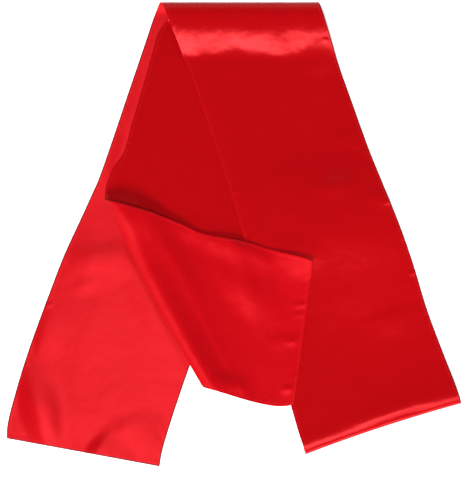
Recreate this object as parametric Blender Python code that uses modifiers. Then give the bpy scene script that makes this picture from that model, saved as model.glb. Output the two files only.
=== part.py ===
# Silk sash: one long strip of satin with narrow hems, folded up and laid flat.
#
# The strip is followed from its first end to its second, and each stretch is an object:
#   left_fall      from the first end, flat on the surface, up and to the right
#   right_fall     over the soft top bend, down and to the right, and round the lower bend
#   hidden_return  from the lower bend back up, between the right fall and what is below
#   inner_fall     round a bend nested inside the top bend, then down and to the left
#   turned_end     rolled over a slanting line and across both falls, to the second end
#
# Every stretch is a sheet with one wall: a grid whose rows run across the strip, placed
# on the middle of the cloth, which Solidify makes as thick as the wall. The tables hold
# rows and bends in millimetres. The origin is on the surface, under the middle of the
# outline, with +X to the right and +Y towards the top bend. MM turns it all into metres.
import math
from collections import namedtuple

import bmesh
import bpy
import numpy as np

MM = 0.001

WALL = 1.0  # the cloth with the air that it holds
GAP = 0.3  # between two layers, and between two stretches at a seam
LAYER = WALL + GAP
COLUMNS = 12  # faces across each stretch

# Heights of the middle of each layer, where all four falls lie on each other.
LEFT_HEIGHT = WALL / 2
INNER_HEIGHT = LEFT_HEIGHT + LAYER
RETURN_HEIGHT = INNER_HEIGHT + LAYER
RIGHT_HEIGHT = RETURN_HEIGHT + LAYER

# To the right of the inner fall, the return sinks to the surface with the right fall on it.
SINK = RETURN_HEIGHT - LEFT_HEIGHT
SINK_RUN = 45.0
# Close to the top bend they don't sink, and they do so in full from SINK_Y down.
LEVEL_Y = 210.0
SINK_Y = 165.0

# Over CLIMB_RUN the turned end climbs from the inner fall to the right fall, and it is
# there CLIMB_LEAD before the right fall's edge.
CLIMB_RUN = 35.0
CLIMB_LEAD = 6.0

TOP_LINE = 229.6  # Y of the outermost line of the top bend
RETURN_INSET = 1.0  # how far the return keeps inside the right fall's two edges

# A row across the strip, seen from above: its left end, its right end, and how far its
# middle bows to the left-hand side of the way from one to the other.
Row = namedtuple("Row", "left_x left_y right_x right_y bow")

LEFT_FALL = [
    Row(-213.6, -203.6, -69.9, -229.5, 0.0),
    Row(-213.4, -190.2, -67.3, -214.3, 0.0),
    Row(-208.8, -167.8, -59.2, -186.5, 0.0),
    Row(-198.9, -130.0, -45.3, -144.2, 0.0),
    Row(-186.9, -91.7, -31.1, -104.2, 0.0),
    Row(-166.7, -33.0, -11.7, -47.2, 0.0),
    Row(-142.1, 26.9, 8.8, 12.8, 0.0),
    Row(-130.1, 57.4, 19.7, 44.8, 0.0),
    Row(-105.0, 140.5, 50.1, 133.8, 0.0),
    Row(-82.0, 217.4, 78.6, 217.4, 0.0),
]

RIGHT_FALL = [
    Row(-46.4, 161.8, 106.3, 161.8, 0.0),
    Row(-33.9, 124.8, 117.5, 126.8, 0.0),
    Row(-18.8, 78.3, 132.2, 80.8, 0.0),
    Row(-6.2, 38.8, 145.2, 43.8, 0.0),
    Row(7.2, -7.4, 161.2, -0.2, 0.0),
    Row(19.7, -52.4, 173.2, -38.2, 0.0),
    Row(32.7, -99.2, 184.7, -81.2, 0.0),
    Row(45.7, -146.2, 197.2, -119.7, 0.6),
    Row(59.6, -197.2, 207.7, -150.5, 1.9),
]
LOWER_LINE = Row(67.0, -218.7, 214.0, -172.1, 1.9)  # outermost line of the lower bend

INNER_FALL = [
    Row(-77.8, 199.8, 81.0, 199.8, 0.0),
    Row(-88.7, 154.4, 55.5, 118.8, 0.0),
    Row(-102.0, 103.8, 27.1, 28.8, 0.0),
    Row(-109.3, 74.8, 8.2, -31.2, 0.0),
    Row(-120.1, 57.4, -22.2, -127.8, -2.0),
    Row(-126.3, 40.1, -27.9, -146.1, -2.7),
]
TURN_LINE = Row(-126.8, 25.2, -31.1, -156.0, -2.7)  # outermost line of the slanting roll

TURNED_END = [
    Row(-81.5, 13.0, 12.0, -168.6, -1.0),
    Row(-53.6, 2.7, 22.0, -171.0, 0.0),
    Row(-30.2, -7.7, 31.0, -172.8, 0.0),
    Row(6.7, -14.9, 40.1, -174.0, 0.0),
    Row(36.6, -24.1, 46.5, -174.0, 0.0),
    Row(65.0, -31.5, 52.4, -173.2, 0.6),
    Row(76.0, -35.2, 56.2, -171.2, 1.0),
]

# The row on the inner bend where the inner fall ends and the return begins.
RETURN_TOP = Row(-65.0, 207.5, 89.5, 207.5, 0.0)

# A step round a bend: how far short of the bend's outermost line it is, and the height
# of the middle of the cloth there.
Step = namedtuple("Step", "short height")

TOP_BEND = [
    Step(11.9, LEFT_HEIGHT),
    Step(5.7, 1.3),
    Step(1.2, 4.0),
    Step(0.0, 7.0),
    Step(1.4, 10.2),
    Step(5.6, 12.6),
    Step(11.6, 13.5),
    Step(19.2, 13.6),
    Step(26.0, 13.0),
    Step(32.0, 11.8),
    Step(42.0, 9.0),
    Step(50.5, 6.6),
    Step(58.0, 5.0),
    Step(67.8, RIGHT_HEIGHT),
]

# The inner bend lies inside the top bend, and is measured from the same line. The inner
# fall has it up to its top, and the return has the rest.
INNER_BEND = [
    Step(29.8, INNER_HEIGHT),
    Step(23.2, 2.2),
    Step(16.9, 3.8),
    Step(14.3, 6.2),
    Step(16.4, 8.6),
    Step(22.0, 9.5),
]
RETURN_BEND = [
    Step(22.3, 9.5),
    Step(31.0, 8.6),
    Step(41.2, 6.4),
    Step(51.2, 4.2),
    Step(60.2, 3.3),
    Step(67.8, RETURN_HEIGHT),
]

LOWER_BEND = [
    Step(22.5, LEFT_HEIGHT + LAYER),
    Step(16.5, 2.4),
    Step(11.5, 3.8),
    Step(7.5, 4.9),
    Step(4.0, 5.0),
    Step(1.3, 4.1),
    Step(0.5, 2.8),
    Step(1.4, 1.4),
    Step(4.0, 0.6),
    Step(7.5, LEFT_HEIGHT),
]

# The roll is measured along the inner fall's edges below, and along the turned end's above.
TURN_UNDER = [
    Step(7.0, INNER_HEIGHT),
    Step(3.6, 2.1),
    Step(1.2, 3.2),
    Step(0.5, 4.6),
]
TURN_OVER = [
    Step(1.5, 6.1),
    Step(4.4, 7.2),
    Step(8.5, 7.3),
    Step(14.0, 6.1),
    Step(21.0, 4.5),
    Step(27.5, 3.5),
]

# A soft wave where nothing lies on the cloth: its middle, its heading from +X in degrees,
# its length and width, and how far the cloth lifts there.
Wave = namedtuple("Wave", "x y heading length width lift")

LEFT_WAVES = [
    Wave(-188.0, -186.0, 100.0, 62.0, 22.0, 2.2),
    Wave(-128.0, -203.0, 60.0, 46.0, 26.0, 1.8),
    Wave(-160.0, -95.0, 75.0, 120.0, 60.0, 1.6),
]
RIGHT_WAVES = [
    Wave(150.0, -60.0, 20.0, 110.0, 34.0, 1.6),
    Wave(104.0, 92.0, 15.0, 90.0, 30.0, 1.4),
]
TURNED_WAVES = [
    Wave(-8.0, -66.0, -52.0, 120.0, 32.0, 1.8),
    Wave(50.0, -112.0, 8.0, 50.0, 20.0, 1.4),
]

# The satin shows its glossy face on one side and its softer back on the other.
FACE_COLOUR = (0.51, 0.005, 0.009, 1.0)
FACE_ROUGHNESS = 0.35
BACK_COLOUR = (0.80, 0.014, 0.025, 1.0)
BACK_ROUGHNESS = 0.5


def soft_step(share):
    """0 up to 0, 1 from 1 on, and an even S between them."""
    share = np.clip(share, 0.0, 1.0)
    return share * share * (3.0 - 2.0 * share)


def through(table, count):
    """As many rows of numbers as asked for, evenly spaced along a smooth curve through
    the table's rows."""
    knots = np.array(table, dtype=float)
    before = 2 * knots[0] - knots[1]
    after = 2 * knots[-1] - knots[-2]
    knots = np.vstack([before, knots, after])
    spans = len(knots) - 3
    curve = []
    for place in np.linspace(0.0, spans, spans * 24 + 1):
        first = min(int(place), spans - 1)
        t = place - first
        a, b, c, d = knots[first : first + 4]
        low = 2 * b + (c - a) * t
        high = (2 * a - 5 * b + 4 * c - d) * t**2 + (3 * b - 3 * c + d - a) * t**3
        curve.append((low + high) / 2)
    curve = np.array(curve)
    run = run_along(curve)
    stations = np.linspace(0.0, run[-1], count)
    return np.array([np.interp(stations, run, column) for column in curve.T]).T


def run_along(curve):
    """The distance from the curve's start to each of its points."""
    steps = np.linalg.norm(np.diff(curve, axis=0), axis=1)
    return np.insert(np.cumsum(steps), 0, 0.0)


def right_of(x, y, top_x, top_y, foot_x, foot_y):
    """How far points lie to the right of the line that runs down from its top to its foot."""
    length = math.hypot(foot_x - top_x, foot_y - top_y)
    return ((y - top_y) * (foot_x - top_x) - (x - top_x) * (foot_y - top_y)) / length


def sunk(x, y):
    """How far the return and the right fall have sunk, to the right of the inner fall."""
    top = INNER_FALL[0]
    beyond = right_of(x, y, top.right_x, top.right_y, TURN_LINE.right_x, TURN_LINE.right_y)
    below = soft_step((LEVEL_Y - y) / (LEVEL_Y - SINK_Y))
    return SINK * soft_step(beyond / SINK_RUN) * below


def climbed(x, y):
    """How far the turned end has climbed onto the right fall."""
    top = RIGHT_FALL[0]
    beyond = right_of(x, y, top.left_x, top.left_y, LOWER_LINE.left_x, LOWER_LINE.left_y)
    onto = soft_step((beyond + CLIMB_LEAD + CLIMB_RUN) / CLIMB_RUN)
    return (SINK - sunk(x, y)) * onto


def lift(x, y, waves):
    """How far the soft waves lift the cloth."""
    total = np.zeros_like(x)
    for wave in waves:
        heading = math.radians(wave.heading)
        along = (x - wave.x) * math.cos(heading) + (y - wave.y) * math.sin(heading)
        across = (y - wave.y) * math.cos(heading) - (x - wave.x) * math.sin(heading)
        reach = np.hypot(along / (wave.length / 2), across / (wave.width / 2))
        total += wave.lift * (1.0 - soft_step(reach))
    return total


def spread(rows):
    """The points of each row, evenly spaced from its left end to its right end."""
    share = np.linspace(0.0, 1.0, COLUMNS + 1)
    left_x, left_y, right_x, right_y, bow = (rows[:, i : i + 1] for i in range(5))
    length = np.hypot(right_x - left_x, right_y - left_y)
    bulge = bow * 4.0 * share * (1.0 - share) / length
    x = left_x + (right_x - left_x) * share - (right_y - left_y) * bulge
    y = left_y + (right_y - left_y) * share + (right_x - left_x) * bulge
    return x, y


def drawn_in(rows, margin):
    """The rows with both their ends drawn in by the margin."""
    drawn = rows.copy()
    span = rows[:, 2:4] - rows[:, 0:2]
    step = margin * span / np.linalg.norm(span, axis=1, keepdims=True)
    drawn[:, 0:2] += step
    drawn[:, 2:4] -= step
    return drawn


def top_bend_rows(bend, start, finish, count):
    """Rows round a bend at the top, from one row to another, and their heights. Their ends
    move sideways evenly with the length of cloth that has gone by."""
    curve = through(bend, count)
    run = run_along(curve)
    share = (run / run[-1])[:, None]
    rows = np.array(start) * (1.0 - share) + np.array(finish) * share
    rows[:, 1] = TOP_LINE - curve[:, 0]
    rows[:, 3] = TOP_LINE - curve[:, 0]
    return rows, curve[:, 1]


def slanting_bend_rows(bend, line, beside, count):
    """Rows round a bend along a slanting line, and their heights. Their ends lie on the
    ways from the line's ends to those of the row beside it."""
    curve = through(bend, count)
    across = np.array([line.right_x - line.left_x, line.right_y - line.left_y])
    across /= np.linalg.norm(across)
    rows = np.tile(np.array(line), (count, 1))
    for first in (0, 2):
        way = np.array(beside[first : first + 2]) - np.array(line[first : first + 2])
        depth = abs(way[0] * across[1] - way[1] * across[0])
        rows[:, first : first + 2] += curve[:, 0:1] * way / depth
    return rows, curve[:, 1]


def sheet(name, x, y, z, colour, roughness):
    """One stretch of the cloth: a grid placed on its middle, with its wall by Solidify."""
    body = bmesh.new()
    bmesh.ops.create_grid(body, x_segments=x.shape[1] - 1, y_segments=x.shape[0] - 1)
    points = np.stack([x, y, z], axis=-1).reshape(-1, 3) * MM
    for vertex, point in zip(body.verts, points):
        vertex.co = point
    mesh = bpy.data.meshes.new(name)
    body.to_mesh(mesh)
    body.free()
    mesh.shade_smooth()
    mesh.materials.append(satin(name, colour, roughness))
    piece = bpy.data.objects.new(name, mesh)
    wall = piece.modifiers.new("wall", "SOLIDIFY")
    wall.thickness = WALL * MM
    wall.offset = 0.0
    wall.use_even_offset = True
    return piece


def satin(name, colour, roughness):
    material = bpy.data.materials.new(name)
    material.use_nodes = True
    shader = material.node_tree.nodes["Principled BSDF"]
    shader.inputs["Base Color"].default_value = colour
    shader.inputs["Roughness"].default_value = roughness
    shader.inputs["Metallic"].default_value = 0.0
    return material


def left_fall():
    x, y = spread(through(LEFT_FALL, 30))
    z = LEFT_HEIGHT + lift(x, y, LEFT_WAVES)
    return sheet("left_fall", x, y, z, BACK_COLOUR, BACK_ROUGHNESS)


def right_fall():
    """The top bend, the fall and the lower bend, which is on the surface where it ends."""
    over, over_heights = top_bend_rows(TOP_BEND, LEFT_FALL[-1], RIGHT_FALL[0], 22)
    fall = through(RIGHT_FALL, 28)[1:-1]
    under, under_heights = slanting_bend_rows(LOWER_BEND, LOWER_LINE, RIGHT_FALL[-1], 15)
    fall_heights = np.full(len(fall), RIGHT_HEIGHT)
    x, y = spread(np.vstack([over, fall, under]))
    stack = np.concatenate([over_heights, fall_heights, under_heights + SINK])
    z = stack[:, None] - sunk(x, y) + lift(x, y, RIGHT_WAVES)
    return sheet("right_fall", x, y, z, FACE_COLOUR, FACE_ROUGHNESS)


def hidden_return():
    """The stretch under the right fall, on the surface at its foot."""
    start = drawn_in(np.array(RIGHT_FALL[:1]), RETURN_INSET)[0]
    bend, bend_heights = top_bend_rows(RETURN_BEND, RETURN_TOP, start, 9)
    short_of_bend = [Step(LOWER_BEND[-1].short + GAP, 0.0), Step(LOWER_BEND[0].short, 0.0)]
    foot, _ = slanting_bend_rows(short_of_bend, LOWER_LINE, RIGHT_FALL[-1], 2)
    fall = drawn_in(np.vstack([through(RIGHT_FALL, 28)[1:-1], foot[::-1]]), RETURN_INSET)
    x, y = spread(np.vstack([bend, fall]))
    stack = np.concatenate([bend_heights, np.full(len(fall), RETURN_HEIGHT)])
    z = stack[:, None] - sunk(x, y)
    return sheet("hidden_return", x, y, z, BACK_COLOUR, BACK_ROUGHNESS)


def inner_fall():
    bend, bend_heights = top_bend_rows(INNER_BEND, INNER_FALL[0], RETURN_TOP, 10)
    fall = through(INNER_FALL, 22)
    x, y = spread(np.vstack([fall[::-1], bend[1:]]))
    z = np.concatenate([np.full(len(fall), INNER_HEIGHT), bend_heights[1:]])
    z = np.repeat(z[:, None], COLUMNS + 1, axis=1)
    return sheet("inner_fall", x, y, z, FACE_COLOUR, FACE_ROUGHNESS)


def turned_end():
    under, under_heights = slanting_bend_rows(TURN_UNDER, TURN_LINE, INNER_FALL[-1], 5)
    over, over_heights = slanting_bend_rows(TURN_OVER, TURN_LINE, TURNED_END[0], 7)
    end = through(TURNED_END, 15)
    x, y = spread(np.vstack([under, over, end]))
    end_heights = np.full(len(end), INNER_HEIGHT + LAYER)
    z = np.concatenate([under_heights, over_heights, end_heights])
    z = z[:, None] + climbed(x, y) + lift(x, y, TURNED_WAVES)
    return sheet("turned_end", x, y, z, BACK_COLOUR, BACK_ROUGHNESS)


def main():
    for old in list(bpy.data.objects):
        bpy.data.objects.remove(old, do_unlink=True)
    sash = bpy.data.collections.new("silk sash")
    bpy.context.scene.collection.children.link(sash)
    for stretch in (left_fall, right_fall, hidden_return, inner_fall, turned_end):
        sash.objects.link(stretch())


main()
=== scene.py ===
# %% [markdown]
# # A folded satin sash
# The real thing is one strip of red satin, 150 mm wide and about 1.8 m long, with a narrow
# hem on every edge. It is folded over itself four times and laid on a table. The packed
# model gives the frame: its five solids say where each stretch of the strip lies. This
# script dresses them with thin cloth, its folds, its hems and stitches, and the sheen.

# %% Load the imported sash
import math
from collections import namedtuple

import bpy
import numpy as np
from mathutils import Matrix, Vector


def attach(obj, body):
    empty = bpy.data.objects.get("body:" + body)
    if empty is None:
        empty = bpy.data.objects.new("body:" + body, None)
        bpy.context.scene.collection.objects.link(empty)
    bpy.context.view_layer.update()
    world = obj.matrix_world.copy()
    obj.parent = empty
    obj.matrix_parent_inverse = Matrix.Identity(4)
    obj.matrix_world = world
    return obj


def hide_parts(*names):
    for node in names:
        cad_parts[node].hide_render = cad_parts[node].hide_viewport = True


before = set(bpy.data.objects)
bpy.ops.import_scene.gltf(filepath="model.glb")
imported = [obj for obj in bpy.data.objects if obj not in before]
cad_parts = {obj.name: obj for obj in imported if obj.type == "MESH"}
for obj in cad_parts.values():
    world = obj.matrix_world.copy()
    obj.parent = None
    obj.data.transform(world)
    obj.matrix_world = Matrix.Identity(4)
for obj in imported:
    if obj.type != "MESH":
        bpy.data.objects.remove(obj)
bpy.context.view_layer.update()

print("solids:", sorted(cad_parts))

# %% [markdown]
# ## The camera first
# A cut-out photo of flat cloth is taken from nearly straight above. The camera stands a
# little towards the viewer and looks down with a long lens, so the far end of the sash
# comes out only slightly smaller than the near one. Making it first means that each later
# cell can be judged through it.

# %% Camera
MM = 0.001
IMAGE_HEIGHT = 482  # pixels, the longer side
FOCAL_PIXELS = 1130
SENSOR = 36.0

CAMERA_PLACE = Vector((-1.3, -242.9, 1076.0)) * MM
CAMERA_TARGET = Vector((-1.3, -14.2, 0.0)) * MM

lens = bpy.data.cameras.new("long lens")
lens.sensor_width = SENSOR
lens.lens = FOCAL_PIXELS / IMAGE_HEIGHT * SENSOR
camera = bpy.data.objects.new("camera", lens)
camera.location = CAMERA_PLACE
camera.rotation_euler = (CAMERA_TARGET - CAMERA_PLACE).to_track_quat("-Z", "Y").to_euler()
bpy.context.scene.collection.objects.link(camera)
bpy.context.scene.camera = camera
print("lens of", round(lens.lens, 1), "mm")

# %% [markdown]
# ## A table top and soft light
# Satin shows the light as much as its own colour. A softbox hangs over the viewer's side,
# so that cloth which lies flat reflects the dim room behind it and cloth which tips towards
# the viewer catches the softbox. Two more stand low, one in front and a weak one behind.
# Of the two snooted lamps the wide one lights the whole sash softly, and the narrow one
# lays a faint patch on the right fall. The room is dim, and only the camera sees it white.
# The colours are shown as they are, without a film look, so pure red stays pure.

# %% Floor, room and lamps
def linear(hex_colour):
    """An sRGB hex colour as the linear numbers that Blender's sockets take."""
    parts = [int(hex_colour[i : i + 2], 16) / 255 for i in (1, 3, 5)]
    curve = [c / 12.92 if c <= 0.04045 else ((c + 0.055) / 1.055) ** 2.4 for c in parts]
    return (*curve, 1.0)


def add_node(tree, kind, inputs=None, **settings):
    """Adds a node, sets its properties, and fills or links its inputs."""
    node = tree.nodes.new(kind)
    for name, value in settings.items():
        setattr(node, name, value)
    for name, value in (inputs or {}).items():
        if isinstance(value, bpy.types.NodeSocket):
            tree.links.new(value, node.inputs[name])
        else:
            node.inputs[name].default_value = value
    return node


def plain_floor():
    """The matt white table top that the sash lies on."""
    material = bpy.data.materials.new("matt white table top")
    material.use_nodes = True
    shader = material.node_tree.nodes["Principled BSDF"]
    shader.inputs["Base Color"].default_value = linear("#FAFAFA")
    shader.inputs["Roughness"].default_value = 0.9
    shader.inputs["Specular IOR Level"].default_value = 0.1
    shader.inputs["Emission Color"].default_value = linear("#FFFFFF")
    shader.inputs["Emission Strength"].default_value = 0.3
    half = 3.0  # metres
    corners = [(-half, -half, 0), (half, -half, 0), (half, half, 0), (-half, half, 0)]
    mesh = bpy.data.meshes.new("table_top")
    mesh.from_pydata(corners, [], [(0, 1, 2, 3)])
    mesh.materials.append(material)
    top = bpy.data.objects.new("table_top", mesh)
    bpy.context.scene.collection.objects.link(top)
    return top


def dim_room(strength, seen):
    """A white world: one strength lights the sash, the other is what the camera sees."""
    world = bpy.data.worlds.new("dim room")
    world.use_nodes = True
    tree = world.node_tree
    tree.nodes.clear()
    white = linear("#FFFFFF")
    ray = add_node(tree, "ShaderNodeLightPath")
    dim = add_node(tree, "ShaderNodeBackground", {"Color": white, "Strength": strength})
    pale = add_node(tree, "ShaderNodeBackground", {"Color": white, "Strength": seen})
    either = add_node(tree, "ShaderNodeMixShader", {0: ray.outputs["Is Camera Ray"]})
    tree.links.new(dim.outputs[0], either.inputs[1])
    tree.links.new(pale.outputs[0], either.inputs[2])
    add_node(tree, "ShaderNodeOutputWorld", {"Surface": either.outputs[0]})
    bpy.context.scene.world = world


def softbox(name, place, width, height, watts):
    """An area lamp that looks at the middle of the sash and isn't seen itself."""
    lamp = bpy.data.lights.new(name, "AREA")
    lamp.shape = "RECTANGLE"
    lamp.size = width
    lamp.size_y = height
    lamp.energy = watts
    box = bpy.data.objects.new(name, lamp)
    box.location = place
    box.rotation_euler = (-Vector(place)).to_track_quat("-Z", "Y").to_euler()
    box.visible_camera = False
    bpy.context.scene.collection.objects.link(box)
    return box


SNOOT_PLACE = Vector((-0.25, -1.25, 2.4))


def snooted_lamp(name, target, cone, size, watts):
    """A lamp in a snoot, which lays a soft patch of light round its target."""
    lamp = bpy.data.lights.new(name, "SPOT")
    lamp.spot_size = math.radians(cone)
    lamp.spot_blend = 1.0
    lamp.shadow_soft_size = size
    lamp.energy = watts
    snoot = bpy.data.objects.new(name, lamp)
    snoot.location = SNOOT_PLACE
    aim = Vector(target) - SNOOT_PLACE
    snoot.rotation_euler = aim.to_track_quat("-Z", "Y").to_euler()
    bpy.context.scene.collection.objects.link(snoot)
    return snoot


plain_floor()
dim_room(strength=0.16, seen=1.0)
softbox("softbox over the viewer", (-0.95, -1.95, 6.0), 1.7, 2.1, 352.0)
softbox("low front light", (-0.8, -5.6, 3.0), 2.8, 1.6, 655.0)
softbox("low back light", (0.9, 4.6, 2.6), 4.4, 3.2, 50.0)
snooted_lamp("wide snooted lamp", (0.09, -0.05, 0.0), 7.4, 0.3, 150.0)
snooted_lamp("narrow snooted lamp", (0.14, -0.058, 0.0), 4.2, 0.06, 85.0)
bpy.context.scene.view_settings.view_transform = "Standard"

# %% [markdown]
# ## The strip on the table, in rows
# A folded strip is easiest to describe by rows across it: where each row's left and right
# end lie on the table, seen from above, and how far the row bows out between them. Rows
# are far apart where the strip runs straight and close together in a bend. A smooth curve
# through the rows gives all those between. The tables are in millimetres. They follow the
# solids, and a few ends are moved by some millimetres, so that edges lie as in the photo.

# %% Tables of rows
Row = namedtuple("Row", "left_x left_y right_x right_y bow")

LEFT_FALL = [
    Row(-213.6, -203.6, -69.9, -229.5, 0.0),
    Row(-213.4, -190.2, -67.3, -214.3, 0.0),
    Row(-208.8, -167.8, -59.2, -186.5, 0.0),
    Row(-198.9, -130.0, -45.3, -144.2, 0.0),
    Row(-186.9, -91.7, -31.1, -104.2, 0.0),
    Row(-166.7, -33.0, -11.7, -47.2, 0.0),
    Row(-142.1, 26.9, 8.8, 12.8, 0.0),
    Row(-130.1, 57.4, 19.7, 44.8, 0.0),
    Row(-105.0, 140.5, 50.1, 133.8, 0.0),
    Row(-82.0, 217.4, 78.6, 217.4, 0.0),
]
RIGHT_FALL = [
    Row(-46.4, 161.8, 106.3, 161.8, 0.0),
    Row(-33.9, 124.8, 117.5, 126.8, 0.0),
    Row(-18.8, 78.3, 132.2, 80.8, 0.0),
    Row(-6.2, 38.8, 145.2, 43.8, 0.0),
    Row(7.2, -7.4, 161.2, -0.2, 0.0),
    Row(19.7, -52.4, 173.2, -38.2, 0.0),
    Row(32.7, -99.2, 184.7, -81.2, 0.0),
    Row(45.7, -146.2, 197.2, -119.7, 0.6),
    Row(59.6, -197.2, 207.7, -150.5, 1.9),
]
LOWER_LINE = Row(66.8, -219.3, 214.0, -172.1, 1.9)  # outermost line of the lower bend
RETURN_TOP = Row(-57.5, 207.5, 89.5, 207.5, 0.0)
INNER_FALL = [
    Row(-77.8, 199.8, 81.0, 199.8, 0.0),
    Row(-88.7, 154.4, 55.5, 118.8, 0.0),
    Row(-102.0, 103.8, 27.1, 28.8, 0.0),
    Row(-109.3, 74.8, 8.2, -31.2, 0.0),
    Row(-120.1, 57.4, -22.2, -127.8, -2.0),
    Row(-126.3, 40.1, -27.9, -146.1, -2.7),
]
TURN_LINE = Row(-126.8, 25.2, -31.1, -156.0, -2.7)  # outermost line of the slanting roll
TURNED_END = [
    Row(-81.5, 13.0, 12.0, -168.6, -1.0),
    Row(-53.6, 2.7, 22.0, -171.0, 0.0),
    Row(-30.2, -7.7, 31.0, -172.8, 0.0),
    Row(6.7, -14.9, 40.1, -174.0, 0.0),
    Row(36.6, -24.1, 46.5, -174.0, 0.0),
    Row(65.0, -31.5, 52.4, -173.2, 0.6),
    Row(76.0, -35.2, 56.2, -171.2, 1.0),
]
TOP_LINE = 231.1  # Y of the outermost line of the top bend

# %% [markdown]
# ## The bends, from the side
# A bend is a short list of steps: how far short of its outermost line the cloth is, and
# how high its middle lies there. Satin is springy, so the top bend stands up as a soft
# roll of 15 mm, and its long slope towards the viewer is what catches the softbox. The
# fold at the lower end is about 6 mm high. The heights of the layers come from the
# solids, apart from the lowest, which lies right on the table.

# %% Tables of steps
Step = namedtuple("Step", "short height")

LEFT_HEIGHT = 0.45
INNER_HEIGHT = 1.8
RETURN_HEIGHT = 3.1
RIGHT_HEIGHT = 4.4
TURNED_HEIGHT = 3.1

TOP_BEND = [
    Step(13.65, LEFT_HEIGHT),
    Step(10.9, 0.5),
    Step(5.9, 1.1),
    Step(1.3, 3.9),
    Step(0.0, 7.0),
    Step(1.0, 10.4),
    Step(3.6, 12.9),
    Step(7.2, 14.1),
    Step(12.0, 14.7),
    Step(19.0, 14.4),
    Step(25.5, 13.4),
    Step(31.0, 12.3),
    Step(36.0, 10.9),
    Step(43.0, 8.7),
    Step(50.0, 6.5),
    Step(57.0, 4.8),
    Step(62.0, 4.4),
    Step(69.3, RIGHT_HEIGHT),
]
LOWER_BEND = [
    Step(22.5, 4.9),
    Step(16.5, 5.4),
    Step(11.5, 5.7),
    Step(7.5, 5.7),
    Step(3.6, 5.1),
    Step(0.8, 4.0),
    Step(0.0, 2.8),
    Step(0.9, 1.4),
    Step(3.6, 0.6),
    Step(7.5, 0.5),
]
RETURN_BEND = [
    Step(67.8, RETURN_HEIGHT),
    Step(60.2, RETURN_HEIGHT),
    Step(51.2, 3.9),
    Step(41.2, 6.6),
    Step(31.0, 9.0),
    Step(22.3, 9.5),
]
INNER_BEND = [
    Step(22.0, 9.5),
    Step(16.8, 8.8),
    Step(14.3, 6.4),
    Step(14.7, 3.9),
    Step(16.4, 2.2),
    Step(19.5, INNER_HEIGHT),
    Step(31.3, INNER_HEIGHT),
]
TURN_UNDER = [
    Step(7.0, INNER_HEIGHT),
    Step(3.6, 2.1),
    Step(1.2, 3.2),
    Step(0.5, 4.6),
]
TURN_OVER = [
    Step(1.5, 5.8),
    Step(4.4, 7.4),
    Step(8.0, 8.8),
    Step(12.0, 9.0),
    Step(17.5, 7.8),
    Step(23.0, 6.3),
    Step(29.5, 5.0),
]

# %% Smooth curves through a table
def run_along(points):
    """The distance from the first point to each of them."""
    steps = np.linalg.norm(np.diff(points, axis=0), axis=1)
    return np.insert(np.cumsum(steps), 0, 0.0)


def curve_through(table, per_span=40):
    """A dense smooth curve through the table's rows."""
    knots = np.array(table, dtype=float)
    before = 2 * knots[0] - knots[1]
    after = 2 * knots[-1] - knots[-2]
    knots = np.vstack([before, knots, after])
    spans = len(knots) - 3
    places = np.linspace(0.0, spans, spans * per_span + 1)
    first = np.minimum(places.astype(int), spans - 1)
    t = (places - first)[:, None]
    a, b, c, d = (knots[first + i] for i in range(4))
    low = 2 * b + (c - a) * t
    high = (2 * a - 5 * b + 4 * c - d) * t**2 + (3 * b - 3 * c + d - a) * t**3
    return (low + high) / 2


def soft_step(share):
    """0 up to 0, 1 from 1 on, and an even S between them."""
    share = np.clip(share, 0.0, 1.0)
    return share * share * (3.0 - 2.0 * share)


# %% [markdown]
# ## Rows round a bend
# At the top the rows stay level with each other and only slide sideways as the strip
# turns over. At the slanting roll and the lower bend they run along a slanting line, and
# their two ends keep to the edges of the strip.

# %% Rows with heights
def with_height(rows, height):
    return np.column_stack([rows, np.broadcast_to(height, len(rows))])


def level_bend(bend, start, finish):
    """Rows round a bend at the top, from one row to another."""
    curve = curve_through(bend)
    run = run_along(curve)
    share = (run / run[-1])[:, None]
    rows = np.array(start) * (1.0 - share) + np.array(finish) * share
    rows[:, 1] = TOP_LINE - curve[:, 0]
    rows[:, 3] = TOP_LINE - curve[:, 0]
    return with_height(rows, curve[:, 1])


def slanting_bend(bend, line, beside):
    """Rows round a bend along a line. Their ends lie on the ways to the row beside it."""
    curve = curve_through(bend)
    across = np.array([line.right_x - line.left_x, line.right_y - line.left_y])
    across /= np.linalg.norm(across)
    rows = np.tile(np.array(line), (len(curve), 1))
    for first in (0, 2):
        way = np.array(beside[first : first + 2]) - np.array(line[first : first + 2])
        depth = abs(way[0] * across[1] - way[1] * across[0])
        rows[:, first : first + 2] += curve[:, 0:1] * way / depth
    return with_height(rows, curve[:, 1])


print("top bend:", len(level_bend(TOP_BEND, LEFT_FALL[-1], RIGHT_FALL[0])), "rows")

# %% [markdown]
# ## Where the layers sink, rise and climb
# To the right of the inner fall nothing lies below the return, so it and the right fall
# sink to the table there. The right fall rises again to its lower bend, and its left edge
# droops over the layers below it. The turned end climbs over that edge. Each of these
# follows the distance from a slanting line, eased so that the satin shows no crease.

# %% Sinking, rising and climbing
SINK = 2.6
SINK_RUN = 45.0
LEVEL_Y = 210.0  # nothing sinks above this line, in the top bend
SINK_Y = 165.0
LOWER_RUN = 100.0
DROOP = 1.1
DROOP_RUN = 18.0
DROOP_FOOT = -110.0  # Y below which the edge has no droop
DROOP_EASE = 60.0
CLIMB_RUN = 18.0
CLIMB_LEAD = 1.0


def right_of(x, y, top_x, top_y, foot_x, foot_y):
    """How far points lie to the right of the line that runs down from its top to its foot."""
    length = math.hypot(foot_x - top_x, foot_y - top_y)
    return ((y - top_y) * (foot_x - top_x) - (x - top_x) * (foot_y - top_y)) / length


def clear_of_bend(y):
    """0 in the top bend, and 1 where the layers have come down from it."""
    return soft_step((LEVEL_Y - y) / (LEVEL_Y - SINK_Y))


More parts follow.
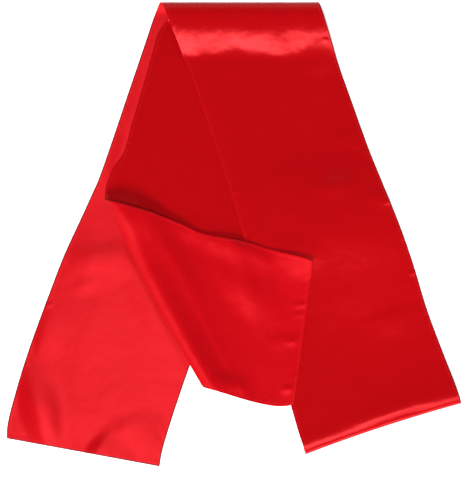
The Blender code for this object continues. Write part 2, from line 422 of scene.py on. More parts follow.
def sunk(x, y):
    """How far the upper layers sink to the right of the inner fall."""
    top = INNER_FALL[0]
    beyond = right_of(x, y, top.right_x, top.right_y, TURN_LINE.right_x, TURN_LINE.right_y)
    return SINK * soft_step(beyond / SINK_RUN) * clear_of_bend(y)


def risen(x, y):
    """How far the right fall rises towards the lower bend."""
    line = LOWER_LINE
    inside = abs(right_of(x, y, line.left_x, line.left_y, line.right_x, line.right_y))
    from_bend = np.clip((inside - LOWER_BEND[0].short) / LOWER_RUN, 0.0, 1.0)
    return (LOWER_BEND[0].height - RIGHT_HEIGHT + SINK) * (1.0 - from_bend) ** 2


def beyond_edge(x, y):
    """How far points lie to the right of the right fall's left edge."""
    top = RIGHT_FALL[0]
    return right_of(x, y, top.left_x, top.left_y, LOWER_LINE.left_x, LOWER_LINE.left_y)


def drooped(x, y):
    """How far the right fall's left edge hangs down, where layers lie below it."""
    layers = clear_of_bend(y) * soft_step((y - DROOP_FOOT) / DROOP_EASE)
    return DROOP * layers * (1.0 - soft_step(beyond_edge(x, y) / DROOP_RUN))


def climbed(x, y):
    """How far the turned end climbs from the inner fall onto the right fall."""
    onto = soft_step((beyond_edge(x, y) + CLIMB_LEAD + CLIMB_RUN) / CLIMB_RUN)
    return (SINK - sunk(x, y) - drooped(x, y)) * onto


# %% [markdown]
# ## Soft folds, placed one by one
# Satin that has been shaken out and laid down keeps long shallow swells, a few sharper
# creases near its ends, and small puckers at the hems. Each is a hump with its own middle,
# heading, length, width on either side, height and bow, so no two are alike. A negative
# lift is a trough. A hump falls off as the cube of one minus the distance squared, which
# has no edge that a glossy surface would show. The corner folds are in the inner fall and
# in the turned end above it alike, so that the two stay apart.

# %% Tables of folds
Fold = namedtuple("Fold", "x y heading length left right lift bow")

LEFT_FOLDS = [
    # below the corner of the roll, and along the layers above
    Fold(-142.0, -33.0, 4.0, 76.0, 26.0, 32.0, 1.1, 0.0),
    Fold(-120.0, -31.0, 6.0, 76.0, 24.0, 36.0, 1.6, 0.0),
    Fold(-143.0, -30.0, 84.0, 96.0, 100.0, 28.0, 1.3, 0.0),
    Fold(-84.6, -68.3, 118.0, 230.0, 26.0, 9.0, 0.9, 0.0),
    Fold(-112.0, 118.0, 75.5, 170.0, 30.0, 15.0, 1.3, 0.0),
    Fold(-128.0, 62.0, 73.0, 110.0, 20.0, 17.0, 1.5, 0.0),
    # long swells, and the creases near the first end
    Fold(-140.0, -100.0, 76.0, 150.0, 70.0, 50.0, 0.9, 4.0),
    Fold(-183.0, -173.0, 106.0, 112.0, 20.0, 32.0, 3.4, 4.0),
    Fold(-181.0, -104.0, 80.0, 74.0, 14.0, 26.0, 1.0, 0.0),
    Fold(-173.0, -190.0, 99.0, 80.0, 20.0, 15.0, 0.7, 0.0),
    Fold(-125.0, -216.0, 54.0, 50.0, 14.0, 56.0, 2.4, 2.0),
    Fold(-97.0, -199.0, 20.0, 86.0, 20.0, 60.0, 1.5, 4.0),
    Fold(-112.0, -176.0, 80.0, 124.0, 90.0, 62.0, 0.9, 0.0),
    # small creases and puckers
    Fold(-140.0, -60.0, 12.0, 60.0, 12.0, 15.0, 0.5, 3.0),
    Fold(-104.0, -107.0, 60.0, 9.0, 3.0, 3.0, 0.3, 0.0),
    Fold(-75.0, -153.0, 20.0, 8.0, 3.0, 3.0, 0.3, 0.0),
    Fold(-178.0, -77.0, 10.0, 14.0, 4.0, 5.0, 0.5, 0.0),
]
RIGHT_FOLDS = [
    # beside the lower bend
    Fold(152.0, -177.0, 17.8, 130.0, 30.0, 11.0, 0.9, 0.0),
    # broad swells across the middle, with smaller ones on them
    Fold(95.0, 26.0, -2.0, 260.0, 70.0, 90.0, 3.8, 0.0),
    Fold(96.0, -15.0, 0.0, 210.0, 26.0, 46.0, 0.5, 0.0),
    Fold(100.0, -22.0, 2.0, 240.0, 70.0, 110.0, 2.3, 0.0),
    Fold(152.0, -93.0, 16.0, 84.0, 14.0, 32.0, 0.8, 3.0),
    Fold(99.0, 40.0, 10.0, 56.0, 18.0, 20.0, 1.3, 0.0),
    Fold(145.0, 28.0, 10.0, 40.0, 12.0, 18.0, 0.9, 0.0),
    Fold(60.0, -28.0, -12.0, 80.0, 26.0, 44.0, 1.2, 0.0),
    Fold(50.0, 112.0, 84.0, 40.0, 9.0, 9.0, -0.25, 0.0),
    Fold(104.0, 92.0, 15.0, 90.0, 15.0, 18.0, 0.6, -3.0),
    # on the slope of the top bend, so that its highlight is uneven
    Fold(-46.0, 182.0, 0.0, 50.0, 30.0, 18.0, 0.35, 0.0),
    Fold(20.0, 191.0, 0.0, 50.0, 20.0, 16.0, 0.4, 0.0),
    Fold(0.0, 167.0, 0.0, 46.0, 22.0, 22.0, 0.6, 0.0),
    Fold(44.0, 183.0, 0.0, 36.0, 22.0, 18.0, 0.7, 0.0),
    Fold(88.0, 169.0, 26.0, 66.0, 28.0, 20.0, 1.7, 0.0),
    Fold(92.0, 190.0, 5.0, 12.0, 3.0, 4.0, 0.4, 0.0),
    # puckers at the hems
    Fold(120.0, 82.0, 8.0, 14.0, 3.0, 4.0, 0.5, 0.0),
    Fold(129.0, 75.0, 8.0, 12.0, 3.0, 4.0, 0.5, 0.0),
    Fold(150.0, 24.0, 12.0, 16.0, 4.0, 5.0, 0.5, 0.0),
    Fold(172.0, -46.0, 12.0, 16.0, 4.0, 5.0, 0.5, 0.0),
    Fold(2.0, 34.0, 0.0, 22.0, 4.0, 5.0, 0.5, 0.0),
]
INNER_FOLDS = [
    Fold(-90.0, 146.0, 12.0, 14.0, 4.0, 5.0, 0.4, 0.0),
    Fold(-101.0, 101.0, 12.0, 14.0, 4.0, 5.0, 0.4, 0.0),
]
CORNER_FOLDS = [
    Fold(-110.0, 16.0, -20.0, 110.0, 26.0, 50.0, 3.8, 0.0),
    Fold(-43.0, -4.0, -22.0, 56.0, 24.0, 24.0, 0.8, 0.0),
    Fold(-9.0, -17.0, -25.0, 84.0, 26.0, 26.0, 1.1, 0.0),
]
TURNED_FOLDS = [
    # along the upper edge
    Fold(-86.0, 10.0, -20.0, 130.0, 40.0, 84.0, 4.2, 0.0),
    Fold(-9.0, -15.0, -25.0, 84.0, 10.0, 26.0, 1.9, 0.0),
    Fold(-43.0, -2.0, -22.0, 50.0, 6.0, 19.0, 0.8, 0.0),
    # swells over the rest of it
    Fold(10.0, -64.0, -50.0, 120.0, 28.0, 32.0, 2.8, 4.0),
    Fold(16.0, -30.0, -30.0, 64.0, 18.0, 28.0, 2.1, 0.0),
    Fold(-63.0, -34.0, -58.0, 170.0, 24.0, 50.0, 2.3, 0.0),
    Fold(-8.0, -154.5, -8.0, 60.0, 16.0, 13.0, 1.8, 0.0),
    Fold(70.0, -24.0, -12.0, 96.0, 30.0, 38.0, 2.4, 0.0),
    Fold(50.0, -112.0, 8.0, 50.0, 10.0, 14.0, 0.7, 0.0),
    # puckers at the edges and at the second end
    Fold(-22.0, -14.0, 70.0, 18.0, 5.0, 6.0, 0.5, 0.0),
    Fold(62.0, -78.0, 8.0, 20.0, 4.0, 4.0, 0.6, 0.0),
    Fold(63.0, -87.0, 8.0, 18.0, 3.0, 4.0, 0.5, 0.0),
    Fold(55.0, -113.0, 8.0, 20.0, 4.0, 5.0, 0.6, 0.0),
    Fold(50.0, -158.0, 8.0, 20.0, 5.0, 6.0, 0.8, 0.0),
]


def relief(x, y, folds):
    """How far the folds lift the cloth."""
    total = np.zeros_like(x)
    for fold in folds:
        heading = math.radians(fold.heading)
        along = (x - fold.x) * math.cos(heading) + (y - fold.y) * math.sin(heading)
        across = (y - fold.y) * math.cos(heading) - (x - fold.x) * math.sin(heading)
        share = along / (fold.length / 2)
        across = across - fold.bow * (1.0 - share**2)
        width = np.where(across > 0.0, fold.left, fold.right)
        reach = np.minimum(share**2 + (across / width) ** 2, 1.0)
        total += fold.lift * (1.0 - reach) ** 3
    return total


# %% [markdown]
# ## From rows to a fine grid
# Each stretch becomes a grid of points on the middle of the cloth. Its columns crowd
# together over the hems, where a few tenths of a millimetre matter, and so do its rows at
# a hemmed end. The path of the rows is sampled evenly and averaged over a few millimetres,
# which takes out the small corners that a table leaves and a glossy satin would show.

# %% A stretch as a grid
STRIP_WIDTH = 150.0
ROW_STEP = 1.7
COLUMN_STEP = 2.0
EDGE_PLACES = [0.0, 0.25, 0.6, 1.1, 1.7, 2.2, 2.6, 2.9, 3.2, 3.5, 3.9, 4.6, 5.7, 7.2]
SAMPLE = 0.5  # between the samples of the path
SMOOTHING = 2.0  # the spread of the average along it


def places_between(length, step, hem_first, hem_last):
    """Places along a length: crowded at a hemmed end, and about a step apart elsewhere."""
    first = EDGE_PLACES if hem_first else [0.0]
    last = [length - place for place in (EDGE_PLACES if hem_last else [0.0])][::-1]
    count = round((last[0] - first[-1]) / step)
    middle = np.linspace(first[-1], last[0], count + 1)[1:-1]
    return np.concatenate([first, middle, last])


def averaged(path):
    """The path with each point averaged over its neighbours, and its ends kept."""
    reach = int(4 * SMOOTHING / SAMPLE)
    offsets = np.arange(-reach, reach + 1) * SAMPLE
    weights = np.exp(-0.5 * (offsets / SMOOTHING) ** 2)
    weights /= weights.sum()
    before = 2 * path[0] - path[reach:0:-1]
    after = 2 * path[-1] - path[-2 : -reach - 2 : -1]
    padded = np.vstack([before, path, after])
    return np.column_stack([np.convolve(column, weights, "valid") for column in padded.T])


def middle_line(rows):
    """The middle of each row, with its height."""
    return np.column_stack([rows[:, [0, 2]].mean(1), rows[:, [1, 3]].mean(1), rows[:, 5]])


def at_places(rows, places):
    """Rows at the given places along the strip."""
    run = run_along(middle_line(rows))
    return np.column_stack([np.interp(places, run, column) for column in rows.T])


def grid_of(rows, hem_first=False, hem_last=False):
    """Points x, y and z of the cloth's middle, in rows along the strip."""
    length = run_along(middle_line(rows))[-1]
    path = averaged(at_places(rows, np.arange(0.0, length, SAMPLE)))
    length = run_along(middle_line(path))[-1]
    path = at_places(path, places_between(length, ROW_STEP, hem_first, hem_last))
    share = places_between(STRIP_WIDTH, COLUMN_STEP, True, True) / STRIP_WIDTH
    left_x, left_y, right_x, right_y, bow, height = (path[:, i : i + 1] for i in range(6))
    span = np.hypot(right_x - left_x, right_y - left_y)
    bulge = bow * 4.0 * share * (1.0 - share) / span
    x = left_x + (right_x - left_x) * share - (right_y - left_y) * bulge
    y = left_y + (right_y - left_y) * share + (right_x - left_x) * bulge
    return x, y, np.broadcast_to(height, x.shape).copy()


# %% [markdown]
# ## The flat pattern
# Before it was folded the strip was a plain rectangle, so every point has a place on it:
# so far across, and so far along. The distance along is measured on both edges of the
# folded strip and shared out between them. This pattern is the UV map. The threads follow
# it round every fold, and it gives the sheen its direction.

# %% Places on the flat strip
def flat_pattern(x, y, z, start_left, start_right):
    """Across and along in millimetres, and how far along the two edges end."""
    left = start_left + run_along(np.column_stack([x[:, 0], y[:, 0], z[:, 0]]))
    right = start_right + run_along(np.column_stack([x[:, -1], y[:, -1], z[:, -1]]))
    share = places_between(STRIP_WIDTH, COLUMN_STEP, True, True) / STRIP_WIDTH
    along = left[:, None] * (1.0 - share) + right[:, None] * share
    across = np.broadcast_to(share * STRIP_WIDTH, x.shape)
    return across, along, left[-1], right[-1]


# %% [markdown]
# ## A closed thin shell with hems
# The real hem is the cloth's edge turned over twice towards its back and stitched down.
# In satin it is pressed so flat that it hardly stands up, and mostly the stitches and the
# rolled edge give it away. The shell is the grid moved out to both sides by half the
# cloth's thickness, a touch more on the back over the hem, and less at the very edge,
# which rounds it. A row of tiny puckers follows the stitch line, because the thread draws
# the satin in: three ripples of different lengths, stronger and weaker by turns.
# The narrow cells along some edges get a darker red, a painted shade for where the edge turns
# under.

# %% Thickness and puckers
CLOTH = 0.5
HEM = 3.2  # from the edge to the inner fold of the hem
HEM_SLOPE = 1.3  # the hem falls off over this length, from 0.5 mm outside its fold
SIDE_RISE = 0.05  # of the hems along the two sides
ROUND_EDGE = 0.7
THINNEST = 0.12  # the least share that is left at the very edge, squared
STITCH_LINE = 2.6  # from the edge
PUCKER = 0.08
PUCKER_REACH = 3.2
CALM_PERIOD = 83.0
Ripple = namedtuple("Ripple", "period height shift")
RIPPLES = [Ripple(9.3, 1.0, 1.0), Ripple(14.9, 0.8, 2.1), Ripple(6.1, 0.6, 4.7)]


def hem_rise(edge, height):
    """How far a hem stands up on the back side, by the distance from the edge."""
    return height * (1.0 - soft_step((edge - HEM + 0.5) / HEM_SLOPE))


def edge_rounding(edge):
    """The share of the thickness that is left close to the edge."""
    inward = np.clip(edge / ROUND_EDGE, 0.0, 1.0)
    return np.sqrt(np.clip(1.0 - (1.0 - inward) ** 2, THINNEST, 1.0))


def puckers(edge, along, turn):
    """Small uneven ripples along the stitch line."""
    near = np.exp(-(((edge - STITCH_LINE) / PUCKER_REACH) ** 2))
    circle = 2 * math.pi * along
    ripple = sum(r.height * np.sin(circle / r.period + r.shift * turn) for r in RIPPLES)
    calm = 0.5 + 0.5 * np.sin(circle / CALM_PERIOD + 1.3 * turn)
    return PUCKER * near * ripple * calm


# %% A shell from a grid
FACE_SIDE = 0
BACK_SIDE = 1
# the third material is the painted edge shade
PAINTED_EDGE_SHADE = 2
SHADED_EDGE_CELLS = 3  # cells from the edge that get the painted edge shade, 1.1 mm in all
PATTERN = "flat pattern"


def normals_of(points):
    """Unit normals on the cloth's back side."""
    across = np.gradient(points, axis=1)
    along = np.gradient(points, axis=0)
    normal = np.cross(across, along)
    return normal / np.linalg.norm(normal, axis=2, keepdims=True)


def grid_faces(rows, columns, first):
    """The quads of a grid of points, counted from the first."""
    index = first + np.arange(rows * columns).reshape(rows, columns)
    corners = [index[:-1, :-1], index[:-1, 1:], index[1:, 1:], index[1:, :-1]]
    return np.stack(corners, axis=-1).reshape(-1, 4)


def rim_faces(rows, columns, first):
    """The faces that close the shell all round, from the back side to the face side."""
    index = np.arange(rows * columns).reshape(rows, columns)
    loop = np.concatenate([index[0, :-1], index[:-1, -1], index[-1, :0:-1], index[:0:-1, 0]])
    after = np.roll(loop, -1)
    return np.stack([after, loop, loop + first, after + first], axis=-1)


def sharpen_seams(mesh, columns, count):
    """Keeps the two rows at each end of a shell from being shaded round the corner."""
    pairs = np.empty(len(mesh.edges) * 2, dtype=np.int32)
    mesh.edges.foreach_get("vertices", pairs)
    pairs = pairs.reshape(-1, 2) % count
    in_first = (pairs < columns).all(1)
    in_last = (pairs >= count - columns).all(1)
    sharp = mesh.attributes.new("sharp_edge", "BOOLEAN", "EDGE")
    sharp.data.foreach_set("value", in_first | in_last)


def outlined_quads(rows, columns, outlined):
    """Marks the narrow cells along the named edges, which get the painted edge shade."""
    mark = np.zeros((rows - 1, columns - 1), dtype=bool)
    mark[:, :SHADED_EDGE_CELLS] |= "left" in outlined
    mark[:, -SHADED_EDGE_CELLS:] |= "right" in outlined
    mark[:SHADED_EDGE_CELLS] |= "first" in outlined
    mark[-SHADED_EDGE_CELLS:] |= "last" in outlined
    return mark.reshape(-1)


def shell(name, points, across, along, edge, rise, outlined, materials):
    """The thin closed cloth of one stretch, with the flat pattern as its UV map."""
    rows, columns = edge.shape
    normal = normals_of(points)
    half = CLOTH / 2 * edge_rounding(edge)
    back = points + normal * (half + rise * edge_rounding(edge))[..., None]
    face = points - normal * half[..., None]
    count = rows * columns
    vertices = np.vstack([back.reshape(-1, 3), face.reshape(-1, 3)]) * MM
    quads = grid_faces(rows, columns, 0)
    faces = np.vstack([quads, quads[:, ::-1] + count, rim_faces(rows, columns, count)])
    mesh = bpy.data.meshes.new(name)
    mesh.from_pydata(vertices.tolist(), [], faces.tolist())
    for material in materials:
        mesh.materials.append(material)
    side = np.full(len(faces), BACK_SIDE, dtype=np.int32)
    side[len(quads) : 2 * len(quads)] = FACE_SIDE
    # painted shade: the cells along the outlined edges take the darker red on both sides
    painted_shade_cells = outlined_quads(rows, columns, outlined)
    side[: len(quads)][painted_shade_cells] = PAINTED_EDGE_SHADE
    side[len(quads) : 2 * len(quads)][painted_shade_cells] = PAINTED_EDGE_SHADE
    mesh.polygons.foreach_set("material_index", side)
    place = np.column_stack([across.reshape(-1), along.reshape(-1)]) * MM
    uv = mesh.uv_layers.new(name=PATTERN)
    uv.data.foreach_set("uv", place[faces.reshape(-1) % count].reshape(-1))
    mesh.shade_smooth()
    sharpen_seams(mesh, columns, count)
    piece = bpy.data.objects.new(name, mesh)
    bpy.context.scene.collection.objects.link(piece)
    return piece


# %% [markdown]
# ## Satin
# In a satin weave the threads of one direction float over four or more of the others, so
# each side shows nearly nothing but long smooth floats. On the face they run along the
# strip and on the back across it. Light is drawn out at right angles to them, and that is
# why the same red looks deep on one side and bright on the other. The shader is a
# dielectric with a strong anisotropic highlight, tinted red because the light has passed
# through dyed fibre. A real thread is 0.1 mm wide, which no pixel here could show, so the
# streaks are drawn 0.9 mm apart.

# %% Satin material
THREAD = 0.9  # mm between the streaks drawn, in place of 0.1 mm
FLOAT = 26.0  # mm, the length of a streak


def satin(name, colour, tint, along_strip, dull, stretched, shine):
    """Polyester satin: deep red, with a long soft highlight across its floats."""
    material = bpy.data.materials.new(name)
    material.use_nodes = True
    tree = material.node_tree
    shader = tree.nodes["Principled BSDF"]
    pattern = add_node(tree, "ShaderNodeUVMap", uv_map=PATTERN)
    spacing = (THREAD * MM, FLOAT * MM) if along_strip else (FLOAT * MM, THREAD * MM)
    threads = add_node(
        tree,
        "ShaderNodeMapping",
        {"Vector": pattern.outputs["UV"], "Scale": (1 / spacing[0], 1 / spacing[1], 1.0)},
    )
    streaks = add_node(
        tree,
        "ShaderNodeTexNoise",
        {"Vector": threads.outputs["Vector"], "Scale": 1.0, "Detail": 2.0, "Roughness": 0.6},
        noise_dimensions="2D",
    )
    swells = add_node(
        tree,
        "ShaderNodeTexNoise",
        {"Vector": pattern.outputs["UV"], "Scale": 1 / (22.0 * MM), "Detail": 2.0},
        noise_dimensions="2D",
    )
    tone = add_node(
        tree,
        "ShaderNodeMapRange",
        {"Value": streaks.outputs["Fac"], "To Min": 0.94, "To Max": 1.06},
    )
    dyed = add_node(
        tree,
        "ShaderNodeVectorMath",
        {0: linear(colour)[:3], "Scale": tone.outputs["Result"]},
        operation="SCALE",
    )
    gloss = add_node(
        tree,
        "ShaderNodeMapRange",
        {"Value": swells.outputs["Fac"], "To Min": dull - 0.03, "To Max": dull + 0.03},
    )
    threads_bump = add_node(
        tree,
        "ShaderNodeBump",
        {"Height": streaks.outputs["Fac"], "Strength": 0.5, "Distance": 0.02 * MM},
    )
    bump = add_node(
        tree,
        "ShaderNodeBump",
        {
            "Height": swells.outputs["Fac"],
            "Strength": 0.6,
            "Distance": 0.7 * MM,
            "Normal": threads_bump.outputs["Normal"],
        },
    )
    tangent = add_node(tree, "ShaderNodeTangent", direction_type="UV_MAP", uv_map=PATTERN)
    tree.links.new(dyed.outputs["Vector"], shader.inputs["Base Color"])
    tree.links.new(gloss.outputs["Result"], shader.inputs["Roughness"])
    tree.links.new(bump.outputs["Normal"], shader.inputs["Normal"])
    tree.links.new(tangent.outputs["Tangent"], shader.inputs["Tangent"])
    shader.inputs["IOR"].default_value = 1.6
    shader.inputs["Specular IOR Level"].default_value = shine
    shader.inputs["Specular Tint"].default_value = linear(tint)
    shader.inputs["Anisotropic"].default_value = stretched
    shader.inputs["Anisotropic Rotation"].default_value = 0.0 if along_strip else 0.25
    shader.inputs["Sheen Weight"].default_value = 0.12
    shader.inputs["Sheen Roughness"].default_value = 0.4
    shader.inputs["Sheen Tint"].default_value = linear("#FF4048")
    return material


face_satin = satin(
    "red polyester satin, face",
    colour="#970308",
    tint="#FF5458",
    along_strip=True,
    dull=0.31,
    stretched=0.95,
    shine=1.0,
)
back_satin = satin(
    "red polyester satin, back",
    colour="#A0050D",
    tint="#FF464E",
    along_strip=False,
    dull=0.45,
    stretched=0.8,
    shine=0.58,
)


def painted_edge_shade():
    """Painted shade at the hem's edge, where the satin turns under and its floats catch no
    light.
    """
    material = bpy.data.materials.new("red polyester satin, painted edge shade")
    material.use_nodes = True
    shader = material.node_tree.nodes["Principled BSDF"]
    shader.inputs["Base Color"].default_value = linear("#6E040C")
    shader.inputs["Roughness"].default_value = 0.6
    shader.inputs["Specular IOR Level"].default_value = 0.2
    return material


# a darker red, painted along some edges as shade
edge_shade_satin = painted_edge_shade()

# %% [markdown]
# ## Stitches
# A hem is held by one row of lockstitch. Each stitch is a short bead of thread, and there
# are hundreds, all alike, so Geometry Nodes place them: the stitch line becomes a curve, is
# cut into even steps, and a bead is set on each step, turned along the line and away from
# the cloth. The result is made a plain mesh.

# %% Tree that sews a line
STITCH_PITCH = 2.4
STITCH_LENGTH = 1.9
STITCH_WIDTH = 0.42  # coarser than real thread, so that it shows


def sewing_tree(material):
    """Nodes that set a bead of thread on each step along a line of edges."""
    tree = bpy.data.node_groups.new("row of stitches", "GeometryNodeTree")
    sockets = tree.interface
    sockets.new_socket("Geometry", in_out="INPUT", socket_type="NodeSocketGeometry")
    for label in ("Pitch", "Length", "Width"):
        sockets.new_socket(label, in_out="INPUT", socket_type="NodeSocketFloat")
    sockets.new_socket("Geometry", in_out="OUTPUT", socket_type="NodeSocketGeometry")
    given = add_node(tree, "NodeGroupInput")
    line = add_node(tree, "GeometryNodeMeshToCurve", {"Mesh": given.outputs["Geometry"]})
    steps = add_node(
        tree,
        "GeometryNodeResampleCurve",
        {"Curve": line.outputs["Curve"], "Length": given.outputs["Pitch"]},
        mode="LENGTH",
    )
    outward = add_node(
        tree, "GeometryNodeInputNamedAttribute", {"Name": "outward"}, data_type="FLOAT_VECTOR"
    )
    heading = add_node(tree, "GeometryNodeInputTangent")
    turn = add_node(
        tree,
        "FunctionNodeAxesToRotation",
        {
            "Primary Axis": heading.outputs["Tangent"],
            "Secondary Axis": outward.outputs["Attribute"],
        },
        primary_axis="X",
        secondary_axis="Z",
    )
    bead = add_node(
        tree, "GeometryNodeMeshUVSphere", {"Segments": 6, "Rings": 4, "Radius": 0.5}
    )
    width = given.outputs["Width"]
    size = add_node(
        tree, "ShaderNodeCombineXYZ", {"X": given.outputs["Length"], "Y": width, "Z": width}
    )
    placed = add_node(
        tree,
        "GeometryNodeInstanceOnPoints",
        {
            "Points": steps.outputs["Curve"],
            "Instance": bead.outputs["Mesh"],
            "Rotation": turn.outputs["Rotation"],
            "Scale": size.outputs["Vector"],
        },
    )
    real = add_node(
        tree, "GeometryNodeRealizeInstances", {"Geometry": placed.outputs["Instances"]}
    )
    smooth = add_node(
        tree, "GeometryNodeSetShadeSmooth", {"Geometry": real.outputs["Geometry"]}
    )
    dressed = add_node(
        tree,
        "GeometryNodeSetMaterial",
        {"Geometry": smooth.outputs["Geometry"], "Material": material},
    )
    add_node(tree, "NodeGroupOutput", {"Geometry": dressed.outputs["Geometry"]})
    return tree


def thread_material():
    """Twisted polyester thread: the satin's red, with less gloss."""
    material = bpy.data.materials.new("red polyester thread")
    material.use_nodes = True
    tree = material.node_tree
    shader = tree.nodes["Principled BSDF"]
    place = add_node(tree, "ShaderNodeTexCoord")
    twist = add_node(
        tree,
        "ShaderNodeTexNoise",
        {"Vector": place.outputs["Object"], "Scale": 1 / (0.6 * MM), "Detail": 1.0},
    )
    tone = add_node(
        tree,
        "ShaderNodeMapRange",
        {"Value": twist.outputs["Fac"], "To Min": 0.8, "To Max": 1.15},
    )
    dyed = add_node(
        tree,
        "ShaderNodeVectorMath",
        {0: linear("#C8121C")[:3], "Scale": tone.outputs["Result"]},
        operation="SCALE",
    )
    tree.links.new(dyed.outputs["Vector"], shader.inputs["Base Color"])
    shader.inputs["Roughness"].default_value = 0.45
    shader.inputs["IOR"].default_value = 1.6
    shader.inputs["Specular Tint"].default_value = linear("#FF8080")
    return material


sewing = sewing_tree(thread_material())

# %% Sew along lines
STITCH_SINK = 0.1  # how far a bead is drawn into the cloth


def line_mesh(name, lines):
    """Lines of points with outward directions, as one mesh of edges."""
    points = np.vstack([line for line, _ in lines])
    outward = np.vstack([away for _, away in lines])
    edges = []
    start = 0
    for line, _ in lines:
        edges += [(start + i, start + i + 1) for i in range(len(line) - 1)]
        start += len(line)
    mesh = bpy.data.meshes.new(name)
    mesh.from_pydata((points * MM).tolist(), edges, [])
    away = mesh.attributes.new("outward", "FLOAT_VECTOR", "POINT")
    away.data.foreach_set("vector", outward.reshape(-1))
    return mesh


def sewn(name, lines):
    """A row of stitches along each line, as one plain mesh."""
    guide = bpy.data.objects.new(name + "_line", line_mesh(name + "_line", lines))
    bpy.context.scene.collection.objects.link(guide)
    row = guide.modifiers.new("row of stitches", "NODES")
    row.node_group = sewing
    sizes = {"Pitch": STITCH_PITCH, "Length": STITCH_LENGTH, "Width": STITCH_WIDTH}
    for item in sewing.interface.items_tree:
        if item.in_out == "INPUT" and item.name in sizes:
            row[item.identifier] = sizes[item.name] * MM
    seen = guide.evaluated_get(bpy.context.evaluated_depsgraph_get())
    mesh = bpy.data.meshes.new_from_object(seen)
    mesh.name = name
    bpy.data.objects.remove(guide)
    stitches = bpy.data.objects.new(name, mesh)
    bpy.context.scene.collection.objects.link(stitches)
    return stitches


# %% [markdown]
# ## The five stretches
# The strip is followed from its first end to its second. Each stretch takes its rows from
# the tables and its folds, and stands for one solid.
# The flat pattern runs on from one stretch to the next. Stitches go on the side that shows.

# %% Hems of a stretch
# outlined names the edges that get the painted edge shade
Stretch = namedtuple(
    "Stretch",
    "name node slot side rests_on hem_first hem_last end_rise stitched outlined",
    defaults=[False, False, 0.0, True, ""],
)


def edge_and_rise(stretch, x, y, z, across):
    """How far each point is from a hemmed edge, and how far the hem stands up there."""
    edge = np.minimum(across, STRIP_WIDTH - across)
    rise = hem_rise(edge, SIDE_RISE)
    ends = np.column_stack([x[:, 0], y[:, 0], x[:, -1], y[:, -1], z[:, :2]])
    steps = run_along(middle_line(ends))
    for hemmed, to_end in ((stretch.hem_first, steps), (stretch.hem_last, steps[-1] - steps)):
        if hemmed:
            edge = np.minimum(edge, to_end[:, None])
            rise = np.maximum(rise, hem_rise(to_end[:, None], stretch.end_rise))
    return edge, rise


def column_at(edge_from_left):
    """The column of the grid that lies nearest a place across the strip."""
    places = places_between(STRIP_WIDTH, COLUMN_STEP, True, True)
    return int(np.argmin(abs(places - edge_from_left)))


def stitch_lines(stretch, points, rise):
    """The stitch lines on the side that shows, along the edges and a hemmed end."""
    normal = normals_of(points)
    on_back = stretch.side == BACK_SIDE
    away = normal if on_back else -normal
    height = CLOTH / 2 + (rise if on_back else np.zeros_like(rise)) - STITCH_SINK
    on_top = points + away * height[..., None]
    first, last = column_at(STITCH_LINE), column_at(STRIP_WIDTH - STITCH_LINE)
    columns = slice(first, last + 1)
    row = int(np.argmin(abs(np.array(EDGE_PLACES) - STITCH_LINE)))
    start = row if stretch.hem_first else 0
    stop = len(points) - row if stretch.hem_last else len(points)
    lines = [(on_top[start:stop, c], away[start:stop, c]) for c in (first, last)]
    if stretch.hem_first:
        lines.append((on_top[row, columns], away[row, columns]))
    if stretch.hem_last:
        lines.append((on_top[-1 - row, columns], away[-1 - row, columns]))
    return lines


# %% Build a stretch
made = {}
pattern_end = [0.0, 0.0]  # how far along the flat strip its two edges have come


def dress(stretch, rows, folds, lift=lambda x, y: 0.0, ease=lambda x, y: 1.0):
    """Makes the cloth of one stretch and its stitches, hangs them on the root body and hides
    its solid.
    """
    x, y, z = grid_of(rows, stretch.hem_first, stretch.hem_last)
    z += lift(x, y)
    z += relief(x, y, folds) * ease(x, y)
    across, along, *ends = flat_pattern(x, y, z, *pattern_end)
    edge, rise = edge_and_rise(stretch, x, y, z, across)
    points = np.stack([x, y, z], axis=-1)
    shift = puckers(edge, along + across, len(made) + 1.0)
    points = points + normals_of(points) * shift[..., None]
    # the third material is the painted edge shade on the outlined edges
    materials = [face_satin, back_satin, edge_shade_satin]
    cloth = shell(stretch.name, points, across, along, edge, rise, stretch.outlined, materials)
    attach(cloth, "root")
    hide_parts(stretch.node)
    if stretch.stitched:
        stitches = sewn(stretch.name + "_stitches", stitch_lines(stretch, points, rise))
        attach(stitches, "root")
    pattern_end[:] = ends
    made[stretch.name] = cloth
    return cloth


# %% Left fall
dress(
    Stretch(
        name="left_cloth",
        node="left_fall",
        slot="satin_back",
        side=BACK_SIDE,
        rests_on=["table_top"],
        hem_first=True,
        end_rise=0.06,
        # the painted edge shade goes on these edges
        outlined="left right first",
    ),
    with_height(curve_through(LEFT_FALL), LEFT_HEIGHT),
    LEFT_FOLDS,
)

# %% [markdown]
# ## The right fall
# It is made in three runs: over the top bend, down the table, and under at the lower bend.
# The rows down the middle rise to the lower bend, and the whole stretch sinks where no
# layers lie below it.

# %% Right fall, with the top bend and the lower bend
over = level_bend(TOP_BEND, LEFT_FALL[-1], RIGHT_FALL[0])
down = with_height(curve_through(RIGHT_FALL)[1:-1], RIGHT_HEIGHT)
down[:, 5] += risen(*middle_line(down)[:, :2].T)
under = slanting_bend(LOWER_BEND, LOWER_LINE, RIGHT_FALL[-1])
under[:, 5] += SINK
dress(
    Stretch(
        name="right_cloth",
        node="right_fall",
        slot="satin_face",
        side=FACE_SIDE,
        rests_on=["return_cloth"],
        # the painted edge shade goes on this edge
        outlined="right",
    ),
    np.vstack([over, down, under]),
    RIGHT_FOLDS,
    lambda x, y: -sunk(x, y) - drooped(x, y),
)

# %% [markdown]
# ## The hidden return
# From the lower bend the strip comes back up under the right fall. It takes that fall's
# rows from the foot to the top, drawn in by a millimetre so that it stays out of sight,
# and its own bend at the top lies inside the top bend.

# %% Hidden return
RETURN_INSET = 1.0
GAP = 0.3  # at the seam with the right fall


def drawn_in(rows, margin):
    """The rows with both their ends drawn in by the margin."""
    drawn = rows.copy()
    span = rows[:, 2:4] - rows[:, 0:2]
    step = margin * span / np.linalg.norm(span, axis=1, keepdims=True)
    drawn[:, 0:2] += step
    drawn[:, 2:4] -= step
    return drawn


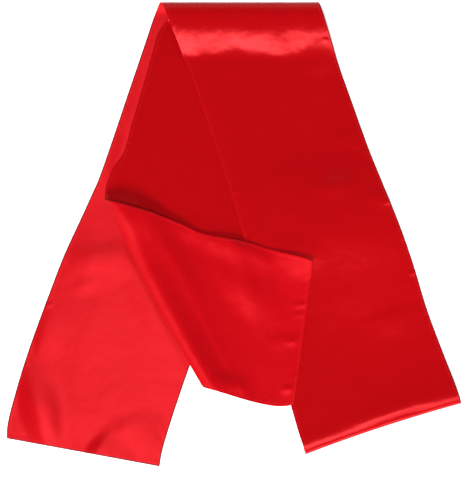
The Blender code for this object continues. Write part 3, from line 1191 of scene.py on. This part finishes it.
short_of_bend = [Step(LOWER_BEND[-1].short + GAP, 0.0), Step(LOWER_BEND[0].short, 0.0)]
foot = slanting_bend(short_of_bend, LOWER_LINE, RIGHT_FALL[-1])[:, :5]
up = drawn_in(np.vstack([foot, curve_through(RIGHT_FALL)[-2::-1]]), RETURN_INSET)
bend = level_bend(RETURN_BEND, Row(*up[-1]), RETURN_TOP)
dress(
    Stretch(
        name="return_cloth",
        node="hidden_return",
        slot="satin_back",
        side=BACK_SIDE,
        rests_on=["inner_cloth"],
        stitched=False,
    ),
    np.vstack([with_height(up[:-1], RETURN_HEIGHT), bend]),
    [],
    lambda x, y: -sunk(x, y) - 0.5 * drooped(x, y),
)

# %% Inner fall
bend = level_bend(INNER_BEND, RETURN_TOP, INNER_FALL[0])
fall = with_height(curve_through(INNER_FALL)[1:], INNER_HEIGHT)
dress(
    Stretch(
        name="inner_cloth",
        node="inner_fall",
        slot="satin_face",
        side=FACE_SIDE,
        rests_on=["left_cloth"],
    ),
    np.vstack([bend, fall]),
    INNER_FOLDS + CORNER_FOLDS,
)

# %% [markdown]
# ## The turned end
# The last stretch rolls over a slanting line and lies across both falls. It comes off the
# roll high and settles over a few centimetres. Then it follows what lies below it: the
# corner folds of the inner fall, the right fall's edge, and the swells beyond that edge.

# %% Turned end
SETTLE_RUN = 42.0  # over this length the turned end sinks from the roll
ROLL_LEAD = 3.0
ROLL_RUN = 28.0
ONTO_LEAD = 10.0
ONTO_RUN = 24.0


def past_the_roll(x, y):
    """0 at the slanting roll, and 1 where the cloth has left it."""
    line = TURN_LINE
    beyond = right_of(x, y, line.left_x, line.left_y, line.right_x, line.right_y)
    return soft_step((beyond - ROLL_LEAD) / ROLL_RUN)


def lifted_from_below(x, y):
    """How far the turned end is lifted by what lies below it, with its folds."""
    onto = soft_step((beyond_edge(x, y) + ONTO_LEAD) / ONTO_RUN)
    below = relief(x, y, RIGHT_FOLDS) + risen(x, y)
    return climbed(x, y) + below * onto + relief(x, y, CORNER_FOLDS)


under = slanting_bend(TURN_UNDER, TURN_LINE, INNER_FALL[-1])
over = slanting_bend(TURN_OVER, TURN_LINE, TURNED_END[0])
end = with_height(curve_through(TURNED_END), TURNED_HEIGHT)
from_roll = np.clip(run_along(middle_line(end)) / SETTLE_RUN, 0.0, 1.0)
end[:, 5] += (TURN_OVER[-1].height - TURNED_HEIGHT) * (1.0 - from_roll) ** 2
dress(
    Stretch(
        name="turned_cloth",
        node="turned_end",
        slot="satin_back",
        side=BACK_SIDE,
        rests_on=["inner_cloth"],
        hem_last=True,
        end_rise=0.16,
    ),
    np.vstack([under, over, end]),
    TURNED_FOLDS,
    lifted_from_below,
    past_the_roll,
)
